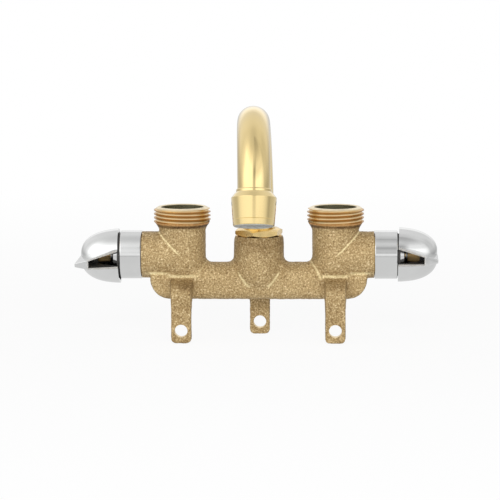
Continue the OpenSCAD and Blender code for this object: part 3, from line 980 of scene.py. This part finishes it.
def spout_tube():
    """A ring drawn up the riser, swept round the gooseneck and out to the tip."""
    let_go()
    bpy.ops.mesh.primitive_circle_add(vertices=96, radius=TUBE_R, location=(0, 0, TUBE_FOOT))
    tube = bpy.context.object
    tube.name = "gooseneck"
    settle(tube)
    open_mesh(tube)
    pulled((0, 0, NUT_TOP - TUBE_FOOT))
    pulled((0, 0, BEND_Z - NUT_TOP))
    bend = math.radians(180 - OUTLET_LEAN)
    bpy.ops.mesh.spin(steps=96, angle=bend, center=(0, -BEND_R, BEND_Z), axis=(-1, 0, 0))
    lean = math.radians(OUTLET_LEAN)
    run = TIP_LEN - TUBE_STOP
    pulled((0, -math.sin(lean) * run, -math.cos(lean) * run))
    close_mesh()
    face_outward(tube)
    return shaped(tube, "SOLIDIFY", thickness=TUBE_WALL, offset=-1, use_rim=True)


def leaned(tube):
    """Tips the riser a little to the left above the nut, while the outlet hangs plumb."""
    lean = math.tan(math.radians(RISER_LEAN))
    for vertex in tube.data.vertices:
        reach = min(max(-vertex.co.y / (2 * BEND_R), 0), 1)
        vertex.co.x -= lean * max(vertex.co.z - NUT_TOP, 0) * (1 - reach ** 3)
    return tube


def at_outlet(piece):
    """Carries a piece turned about Z to the end of the spout, its foot at the mouth."""
    lean = math.radians(OUTLET_LEAN)
    bend_end = Vector((0, -BEND_R * (1 + math.cos(lean)), BEND_Z + BEND_R * math.sin(lean)))
    mouth = bend_end + Vector((0, -math.sin(lean), -math.cos(lean))) * TIP_LEN
    return stand(piece, turn=(-OUTLET_LEAN, 0, 0), at=mouth)


def spout_tip():
    """The collar on the outlet: a band, a sloping shoulder and a long taper to the mouth."""
    bore = TUBE_R + 0.05
    outline = eased([
        (TIP_BORE, TIP_MOUTH),
        (11.25, TIP_MOUTH, 0.35),
        (11.53, 4.1),
        (11.39, 4.3),
        (11.56, 4.5),
        (12.45, 16.2, 0.5),
        (10.5, 18.6, 0.5),
        (9.75, 19.3, 0.4),
        (9.75, 20.5, 0.4),
        (9.45, 21.0),
        (bore, 21.0),
        (bore, TUBE_STOP + 0.2),
        (7.8, TUBE_STOP - 0.1),
        (7.8, 7.0),
        (TIP_BORE, 6.95),
    ])
    return at_outlet(turned("outlet_collar", outline))


def outlet_insert():
    """The grey disc in the mouth: a flange over the collar's edge and two rings of holes."""
    under = TIP_MOUTH - 0.35
    seat = TIP_MOUTH - 0.03
    plug = TIP_BORE - 0.2
    disc = turned("outlet_disc", eased([
        (0, 1.4),
        (8.2, 1.4, 0.4),
        (8.9, under, 0.3),
        (10.9, under, 0.25),
        (10.9, seat),
        (plug, seat),
        (plug, 5.6, 0.3),
        (0, 5.6),
    ]))
    hole_r = 0.95
    for ring, count in ((3.0, 6), (6.2, 12)):
        for place in range(count):
            turn = 2 * math.pi * place / count
            x = ring * math.cos(turn)
            y = ring * math.sin(turn)
            hole = rod("hole", hole_r, (x, y, -1), (x, y, 7), 24)
            combine(disc, hole, "DIFFERENCE", "MANIFOLD")
    return at_outlet(disc)


def spout_nut():
    """The hexagon gland nut, its corners turned back above and below, on its shank."""
    let_go()
    middle = (0, 0, NUT_FOOT + NUT_BLANK / 2)
    bpy.ops.mesh.primitive_cylinder_add(vertices=6, radius=NUT_CORNER_R, depth=NUT_BLANK, location=middle)
    head = bpy.context.object
    head.name = "gland_nut"
    head.rotation_euler = (0, 0, math.radians(NUT_TURN - 30))
    settle(head)
    broken_edges(head, width=0.25, segments=2, sharper_than=40)
    rounded = turned("rounding", [
        (NUT_BORE, NUT_FOOT),
        (12.3, NUT_FOOT),
        (NUT_CORNER_R, NUT_FOOT + 1.1),
        (NUT_CORNER_R, NUT_TOP - 1.5),
        (12.2, NUT_TOP - 0.5),
        (11.2, NUT_TOP),
        (9.8, NUT_TOP),
        (NUT_BORE, NUT_TOP - 0.3),
    ], 120)
    combine(head, rounded, "INTERSECT")
    shank_top = NUT_FOOT + 0.4
    shank = turned("shank", [
        (NUT_BORE, SHANK_FOOT),
        (SHANK_R, SHANK_FOOT),
        (SHANK_R, shank_top),
        (NUT_BORE, shank_top),
    ], 120)
    return combine(head, shank, "UNION")


tube = in_metres(leaned(spout_tube()))
dress(tube, POLISHED)
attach(tube, "spout")
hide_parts("spout_tube")

collar = crisp(in_metres(spout_tip()))
dress(collar, POLISHED)
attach(collar, "spout")
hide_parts("spout_tip")

insert = crisp(in_metres(outlet_insert()))
dress(insert, GREY)
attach(insert, "spout")
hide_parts("outlet_insert")

nut = crisp(in_metres(spout_nut(), 30))
dress(nut, TURNED)
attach(nut, "body")
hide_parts("spout_nut")


# Valves

def right_of_valve(piece):
    """Lays a piece turned about Z along the right valve."""
    return stand(piece, turn=(0, 90, 0), at=(0, 0, VALVE_Z))


def sleeve():
    """The chrome barrel over a valve, and the neck that enters the handle, with a painted shadow at its
    foot.
    """
    outline = eased([
        (SLEEVE_BORE, SLEEVE_START),
        (SLEEVE_R, SLEEVE_START, 0.35),
        (SLEEVE_R, SLEEVE_START + 0.8),
        (SLEEVE_R, SLEEVE_END - 0.9),
        (SLEEVE_R, SLEEVE_END, 0.5),
        (NECK_R, SLEEVE_END),
        (NECK_R, SHADOW_END),
        (NECK_R, NECK_END, 0.5),
        (STEM_GAP_R, NECK_END),
        (STEM_GAP_R, NECK_FLOOR),
        (NECK_BORE, NECK_FLOOR),
        (NECK_BORE, SLEEVE_END - 1.4),
        (SLEEVE_BORE, SLEEVE_END - 2.0),
    ])
    barrel = right_of_valve(turned("right_barrel", outline))
    dress(barrel, CHROME, UNPLATED_AND_SHADED_INSIDE)
    # The neck's foot beside the handle's rim takes the dark inside finish as a painted shadow.
    for face in barrel.data.polygons:
        face.material_index = int(SLEEVE_END - 0.02 < face.center.x < SHADOW_END)
    return barrel


def lengthened(barrel):
    """Draws the foot of the right sleeve out over its shorter arm."""
    lip = 1.0
    for vertex in barrel.data.vertices:
        if vertex.co.x < SLEEVE_START + lip:
            vertex.co.x -= RIGHT_SLEEVE_LONG


def hub_curve(rim, length, steps):
    """Half outline of the rounded hub, which narrows a little from its rim to its nose."""
    power = 2 / HUB_FULLNESS
    curve = []
    for step in range(steps + 1):
        turn = math.radians(90 * step / steps)
        along = math.sin(turn) ** power
        across = math.cos(turn) ** power
        curve.append((rim * across * (1 - HUB_TAPER * along), HUB_RIM + length * along))
    return curve


def lever_bar(wall, opened):
    """The lever, or its hollow: a wedge that thins to its nose and to its tip, its back edge slanted."""
    root_wall = wall * 1.6
    nose_wall = wall * 0.4
    tip_wall = wall * 0.8
    rim_half = LEVER_RIM_HALF - root_wall
    nose_half = LEVER_NOSE_HALF - nose_wall
    root_half = LEVER_ROOT_HALF - root_wall
    tip_half = LEVER_TIP_HALF - tip_wall
    nose = HUB_RIM + HUB_LEN
    back = nose - LEVER_TIP
    rim = HUB_RIM - opened
    bar = sawn("lever", [
        (-nose_half, nose - wall),
        (nose_half, nose - wall),
        (rim_half, rim),
        (-rim_half, rim),
    ], "Y", -LEVER_LEN + wall, 0)
    side = sawn("side", [
        (0, rim),
        (-HUB_R + LEVER_LAP - opened, rim),
        (-LEVER_LEN - opened, back - opened),
        (-LEVER_LEN, nose),
        (0, nose),
    ], "X", -HUB_R, HUB_R)
    plan = sawn("plan", [
        (-root_half, 0),
        (-tip_half, -LEVER_LEN),
        (tip_half, -LEVER_LEN),
        (root_half, 0),
    ], "Z", rim - 1, nose + 1)
    combine(bar, side, "INTERSECT")
    return combine(bar, plan, "INTERSECT")


def handle_insides():
    """What shapes the inside of a handle: its hollows, the post on the stem and the screw's well."""
    screw_r = 1.75
    screw_foot = 97.5
    head_r = 3.4
    head_seat = 99.5
    cap_r = 4.45
    cap_seat = 101.7
    past_nose = 105.0
    opened = 3.0
    hollow = [(0, HUB_RIM - 2), (HUB_R - HUB_WALL, HUB_RIM - 2)]
    hollow += hub_curve(HUB_R - HUB_WALL, HUB_LEN - HUB_NOSE_WALL, 32)
    post = [(POST_BORE, POST_FOOT), (POST_R, POST_FOOT), (POST_R, POST_TOP), (POST_BORE, POST_TOP)]
    well = [
        (0, screw_foot),
        (screw_r, screw_foot),
        (screw_r, head_seat),
        (head_r, head_seat),
        (head_r, cap_seat),
        (cap_r, cap_seat),
        (cap_r, past_nose),
        (0, past_nose),
    ]
    return (
        (turned("hollow", hollow, 120), "DIFFERENCE"),
        (lever_bar(LEVER_WALL, opened), "DIFFERENCE"),
        (turned("post", post, 96), "UNION"),
        (turned("well", well, 96), "DIFFERENCE"),
    )


def handle():
    """A hollow lever handle, drawn about Z with the lever toward -Y, chrome outside and unplated inside,
    made darker there as painted shade.
    """
    plated, unplated_and_shaded, edge = range(3)
    dome = [(0, HUB_RIM)] + hub_curve(HUB_R, HUB_LEN, 40)
    piece = turned("right_lever_handle", dome, 160)
    lever = broken_edges(lever_bar(0, 0), width=0.45, segments=3, sharper_than=12)
    combine(piece, lever, "UNION", "MANIFOLD")
    dress(piece, CHROME, UNPLATED_AND_SHADED_INSIDE, EDGE)
    # The hollows take the unplated inside finish, made darker as painted shade.
    for tool, how in handle_insides():
        dress(tool, CHROME, UNPLATED_AND_SHADED_INSIDE, EDGE)
        for face in tool.data.polygons:
            face.material_index = unplated_and_shaded
        combine(piece, tool, how, "MANIFOLD")
    root = HUB_R - LEVER_LAP
    slant = (HUB_LEN - LEVER_TIP) / (LEVER_LEN - root)
    near = 0.4
    for face in piece.data.polygons:
        off_slant = face.center.z - HUB_RIM - slant * (-face.center.y - root)
        if face.material_index == plated and face.normal.z < -0.4 and abs(off_slant) < near:
            face.material_index = edge
    return right_of_valve(piece)


def hang_loose(grip, rim, tilts, shift):
    """Tilts a handle about its rim on its worn spline, as the photographed ones sit."""
    open_mesh(grip)
    for axis, angle in tilts:
        bpy.ops.transform.rotate(
            value=math.radians(angle),
            orient_axis=axis,
            orient_type="GLOBAL",
            center_override=(rim, 0, VALVE_Z),
        )
    bpy.ops.transform.translate(value=shift)
    close_mesh()


right_barrel = sleeve()
left_barrel = mirrored(right_barrel, "left_barrel")
lengthened(right_barrel)
right_handle = handle()
left_handle = mirrored(right_handle, "left_lever_handle")
hang_loose(left_handle, -HUB_RIM, LEFT_TILTS, LEFT_SHIFT)
hang_loose(right_handle, HUB_RIM, RIGHT_TILTS, RIGHT_SHIFT)
for side, barrel, grip in (("left", left_barrel, left_handle), ("right", right_barrel, right_handle)):
    for piece, body, node in ((barrel, "body", "sleeve"), (grip, f"{side}_lever", "handle")):
        crisp(in_metres(piece, 30))
        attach(piece, body)
        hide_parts(f"{side}_{node}")


# Solids that show as they are

KEPT = {
    "spout_foot": TURNED,
    "spout_o_rings": RUBBER,
    "spout_slip_ring": NYLON,
    "seat_seal": RUBBER,
    "fixed_disc": CERAMIC,
    "moving_disc": CERAMIC,
    "housing": TURNED,
    "gasket": RUBBER,
    "stem": STEM_WITH_PAINTED_LIGHT,
    "stem_o_ring": RUBBER,
    "stem_clip": STEEL,
    "handle_screw": STEEL,
}
for node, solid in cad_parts.items():
    kind = node.removeprefix("left_").removeprefix("right_")
    if kind == "handle_cap":
        dress(solid, RED if node.startswith("left_") else BLUE)
    elif kind in KEPT:
        dress(solid, KEPT[kind])


# Studio

def in_sight(tree):
    """One for the rays that see the background: the camera's, and those from metal and glass."""
    rays = tree.nodes.new("ShaderNodeLightPath").outputs
    return any_of(tree, rays["Is Camera Ray"], rays["Is Glossy Ray"], rays["Is Transmission Ray"])


def mixed(tree, share, plain, seen, out):
    """Sends a mix of two shaders to the output."""
    mix = tree.nodes.new("ShaderNodeMixShader")
    tree.links.new(share, mix.inputs["Fac"])
    tree.links.new(plain, mix.inputs[1])
    tree.links.new(seen, mix.inputs[2])
    tree.links.new(mix.outputs["Shader"], out.inputs["Surface"])


def pale_floor():
    """Floor paint that keeps the soft shadow near the legs and runs out to white."""
    material = bpy.data.materials.new("pale floor")
    material.use_nodes = True
    tree = material.node_tree
    tree.nodes.clear()
    out = tree.nodes.new("ShaderNodeOutputMaterial")
    paint = tree.nodes.new("ShaderNodeBsdfDiffuse")
    paint.inputs["Color"].default_value = (0.86, 0.86, 0.86, 1)
    white = tree.nodes.new("ShaderNodeEmission")
    white.inputs["Color"].default_value = (1, 1, 1, 1)
    distance = tree.nodes.new("ShaderNodeVectorMath")
    distance.operation = "LENGTH"
    tree.links.new(tree.nodes.new("ShaderNodeTexCoord").outputs["Object"], distance.inputs[0])
    away = distance.outputs["Value"]
    half_away = counted(tree, "MULTIPLY", away, 0.5)
    in_metal = levels(tree, half_away, [(0.04, 0.84), (0.30, 0.80), (0.75, 0.64)])
    looked_at = tree.nodes.new("ShaderNodeLightPath").outputs["Is Camera Ray"]
    tree.links.new(counted(tree, "MAXIMUM", looked_at, in_metal), white.inputs["Strength"])
    share = all_of(tree, in_sight(tree), spread(tree, away, 0.12, 0.80, 0.92, 1.0))
    mixed(tree, share, paint.outputs["BSDF"], white.outputs["Emission"], out)
    return material


def studio_floor():
    """A wide floor just under the legs."""
    gap = 0.4
    let_go()
    bpy.ops.mesh.primitive_plane_add(size=60, location=(0, 0, (LEG_FOOT - gap) * MM))
    floor = bpy.context.object
    floor.name = "studio_floor"
    settle(floor)
    dress(floor, pale_floor())


def studio_world():
    """A white tent with two soft panels in front, a slit between them and an even roof."""
    tent_light = 1.7
    fill_light = 0.35
    roof_level = 0.57
    slit_dim = -0.52
    right_dim = -0.28
    backdrop_gain = 0.40
    world = bpy.data.worlds.new("studio")
    bpy.context.scene.world = world
    world.use_nodes = True
    tree = world.node_tree
    tree.nodes.clear()
    out = tree.nodes.new("ShaderNodeOutputWorld")
    x, y, z = axes(tree, tree.nodes.new("ShaderNodeTexCoord").outputs["Generated"])
    front = counted(tree, "MULTIPLY", y, -1.0)
    turn = counted(tree, "MULTIPLY_ADD", counted(tree, "ARCTAN2", x, front), 0.5 / math.pi, 0.5)
    rise = counted(tree, "MULTIPLY_ADD", z, 0.5, 0.5)
    around = levels(tree, turn, [
        (0.0, 0.49),
        (0.139, 0.55),
        (0.197, 0.52),
        (0.244, 0.63),
        (0.289, 0.94),
        (0.331, 1.0),
        (0.425, 0.93),
        (0.500, 0.88),
        (0.567, 0.88),
        (0.644, 0.90),
        (0.689, 0.76),
        (0.733, 0.46),
        (0.806, 0.44),
        (0.861, 0.52),
        (1.0, 0.49),
    ])
    upward = levels(tree, rise, [
        (0.500, 0.60),
        (0.550, 0.70),
        (0.595, 0.84),
        (0.655, 0.97),
        (0.700, 1.0),
        (0.850, 1.0),
        (0.924, 0.94),
        (0.970, 0.86),
        (1.0, 0.74),
    ])
    roof = spread(tree, rise, 0.850, 0.965, 0, 1)
    walls = laid_over(tree, around, (roof_level, roof_level, roof_level, 1), roof)
    panels = laid_over(tree, walls, upward, 1.0, "MULTIPLY")
    slit = all_of(
        tree,
        close_to(tree, x, 0.05, 0.22),
        faded(tree, rise, 0.62, 0.57),
        faded(tree, rise, 0.83, 0.95),
        faded(tree, front, 0.30, 0.10),
    )
    over_right = all_of(tree, close_to(tree, turn, 0.61, 0.15), faded(tree, rise, 0.80, 0.72))
    backdrop = faded(tree, front, -0.92, -0.78)
    light = counted(tree, "MULTIPLY_ADD", slit, slit_dim, 1.0)
    light = counted(tree, "MULTIPLY_ADD", backdrop, backdrop_gain, light)
    light = counted(tree, "MULTIPLY_ADD", over_right, right_dim, light)
    tent = tree.nodes.new("ShaderNodeBackground")
    tree.links.new(panels, tent.inputs["Color"])
    tree.links.new(counted(tree, "MULTIPLY", light, tent_light), tent.inputs["Strength"])
    fill = tree.nodes.new("ShaderNodeBackground")
    fill.inputs["Color"].default_value = (1, 1, 1, 1)
    fill.inputs["Strength"].default_value = fill_light
    mixed(tree, in_sight(tree), fill.outputs["Background"], tent.outputs["Background"], out)


def soft_lamp(name, place, width, height, power):
    """A rectangular soft lamp aimed at the middle of the faucet."""
    lamp = bpy.data.lights.new(name, "AREA")
    lamp.shape = "RECTANGLE"
    lamp.size = width
    lamp.size_y = height
    lamp.energy = power
    holder = bpy.data.objects.new(name, lamp)
    bpy.context.collection.objects.link(holder)
    holder.visible_glossy = False
    holder.location = place
    aim = Vector((0, 0, 0.03)) - Vector(place)
    holder.rotation_euler = aim.to_track_quat("-Z", "Y").to_euler()


def studio_camera():
    """The photograph's view: a long lens from the front, a little above and to the right."""
    turn = math.radians(2.0)
    rise = math.radians(7.75)
    tilt = math.radians(-0.2)
    far = 1.350
    aim = Vector((-0.0052, 0, 0.028))
    camera = bpy.data.cameras.new("camera")
    camera.lens = 167.2
    camera.sensor_width = 36
    camera.clip_start = 0.05
    camera.clip_end = 60
    eye = bpy.data.objects.new("camera", camera)
    bpy.context.collection.objects.link(eye)
    eye.location = aim + far * Vector((
        math.sin(turn) * math.cos(rise),
        -math.cos(turn) * math.cos(rise),
        math.sin(rise),
    ))
    roll = Quaternion((0, 0, 1), tilt)
    eye.rotation_euler = ((aim - eye.location).to_track_quat("-Z", "Y") @ roll).to_euler()
    bpy.context.scene.camera = eye


studio_floor()
studio_world()
soft_lamp("left softbox", (-0.45, -1.35, 0.30), width=0.7, height=0.6, power=7)
soft_lamp("right softbox", (0.55, -1.35, 0.30), width=0.7, height=0.6, power=6)
soft_lamp("front softbox", (0.05, -1.10, 0.72), width=0.6, height=0.5, power=5)
soft_lamp("top softbox", (0, -0.2, 1.3), width=1.2, height=1.0, power=1.5)
studio_camera()
bpy.context.scene.view_settings.view_transform = "Standard"
